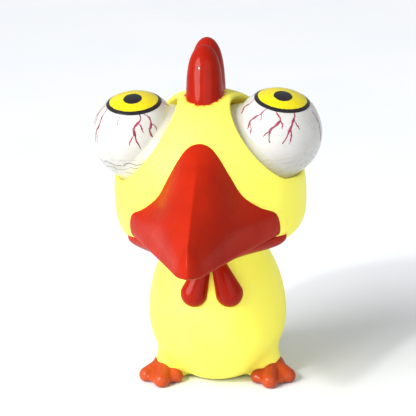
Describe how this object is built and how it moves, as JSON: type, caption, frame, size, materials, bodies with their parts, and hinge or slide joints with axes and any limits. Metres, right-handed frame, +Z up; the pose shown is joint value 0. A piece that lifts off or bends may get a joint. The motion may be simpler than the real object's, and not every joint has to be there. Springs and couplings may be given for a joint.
{
  "type": "squeeze toy chicken",
  "caption": "Palm-size soft chicken figure whose big round eyes slide out of their sockets when its belly is squeezed.",
  "frame": {"origin": "centre of the flat underside of the base plug, on the surface the toy stands on", "axes": "+Z up, -Y the way the beak points, +X the chicken's own left"},
  "size_m": [0.0672, 0.0847, 0.105],
  "materials": {
    "yellow_skin": "soft satin vinyl rubber, lemon yellow",
    "red_gloss": "the same soft rubber under glossy red paint",
    "orange_gloss": "the same soft rubber under glossy orange-red paint",
    "pearl_eyeball": "thin pearly off-white rubber balloon, slightly translucent",
    "iris_print": "glossy yellow print with a black ring and pupil",
    "bag_liner": "plain thin milky rubber",
    "plug": "plain soft rubber plug"
  },
  "bodies": {
    "body": {"body_skin": "yellow_skin", "comb": "red_gloss", "upper_beak": "red_gloss", "lower_beak": "red_gloss", "left_wattle": "red_gloss", "right_wattle": "red_gloss", "left_foot": "orange_gloss", "right_foot": "orange_gloss", "air_yoke": "bag_liner", "air_bag": "bag_liner", "base_plug": "plug"},
    "left_side": {"left_flank": "yellow_skin"},
    "right_side": {"right_flank": "yellow_skin"},
    "left_eye": {"left_eyeball": "pearl_eyeball", "left_iris_disc": "iris_print"},
    "right_eye": {"right_eyeball": "pearl_eyeball", "right_iris_disc": "iris_print"}
  },
  "joints": [
    {"name": "left_squeeze", "type": "slide", "parent": "body", "child": "left_side", "axis": [-1, 0, 0], "range_m": [0, 0.003], "stiffness_N_per_m": 1500, "springref_m": -0.0005, "deforming": ["air_bag"]},
    {"name": "right_squeeze", "type": "slide", "parent": "body", "child": "right_side", "axis": [1, 0, 0], "range_m": [0, 0.003]},
    {"name": "left_eye_pop", "type": "slide", "parent": "body", "child": "left_eye", "axis": [0.6974, -0.2031, 0.6873], "range_m": [0, 0.006]},
    {"name": "right_eye_pop", "type": "slide", "parent": "body", "child": "right_eye", "axis": [-0.6974, -0.2031, 0.6873], "range_m": [0, 0.006]}
  ],
  "couplings": [
    {"joint": "right_squeeze", "follows": "left_squeeze", "ratio": 1},
    {"joint": "left_eye_pop", "follows": "left_squeeze", "ratio": 2},
    {"joint": "right_eye_pop", "follows": "left_squeeze", "ratio": 2}
  ]
}
